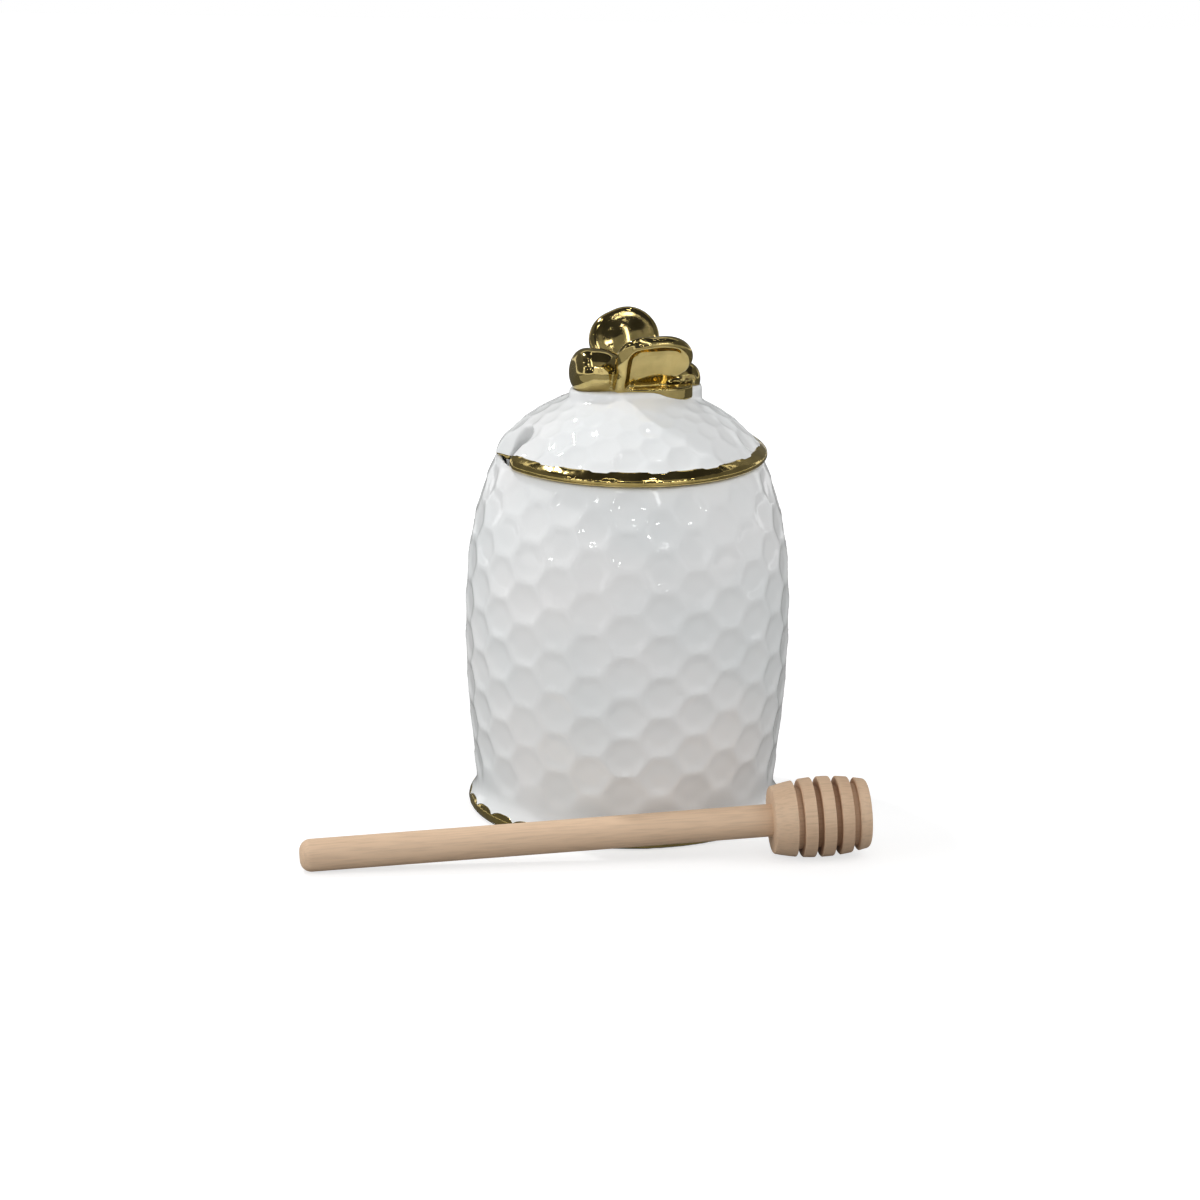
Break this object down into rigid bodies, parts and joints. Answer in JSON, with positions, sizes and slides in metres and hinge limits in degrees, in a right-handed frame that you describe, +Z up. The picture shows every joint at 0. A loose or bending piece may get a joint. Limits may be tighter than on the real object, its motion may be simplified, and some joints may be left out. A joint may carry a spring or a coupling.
{
  "type": "honey pot",
  "caption": "Beehive-shaped porcelain honey pot with a lift-off lid, a gilded bee knob, a notch in the rim for the dipper, and a turned wooden honey dipper.",
  "frame": {"origin": "centre of the pot's standing foot, on the table", "axes": "+Z up along the pot's axis, -Y towards the front where the dipper lies, +X to the right, towards the dipper's ringed head"},
  "size_m": [0.1621, 0.1196, 0.1457],
  "materials": {
    "porcelain": "glossy white glazed porcelain, opaque",
    "gold_lustre": "mirror-bright fired gold lustre",
    "beech": "bare pale beech, turned and sanded",
    "gilded_porcelain": "glazed porcelain all over under mirror-bright fired gold lustre, opaque"
  },
  "bodies": {
    "pot": {"pot_body": "porcelain", "foot_gilt_band": "gold_lustre"},
    "lid": {"lid_dome": "porcelain", "lid_gilt_band": "gold_lustre", "bee_body": "gilded_porcelain", "bee_wing_front": "gilded_porcelain", "bee_wing_back": "gilded_porcelain"},
    "dipper": {"honey_dipper": "beech"}
  },
  "joints": [
    {"name": "lid_lift", "type": "slide", "parent": "pot", "child": "lid", "axis": [0, 0, 1], "range_m": [0, 0.1]},
    {"name": "dipper_lift", "type": "slide", "parent": "pot", "child": "dipper", "axis": [0, 0, 1], "range_m": [0, 0.2]}
  ]
}
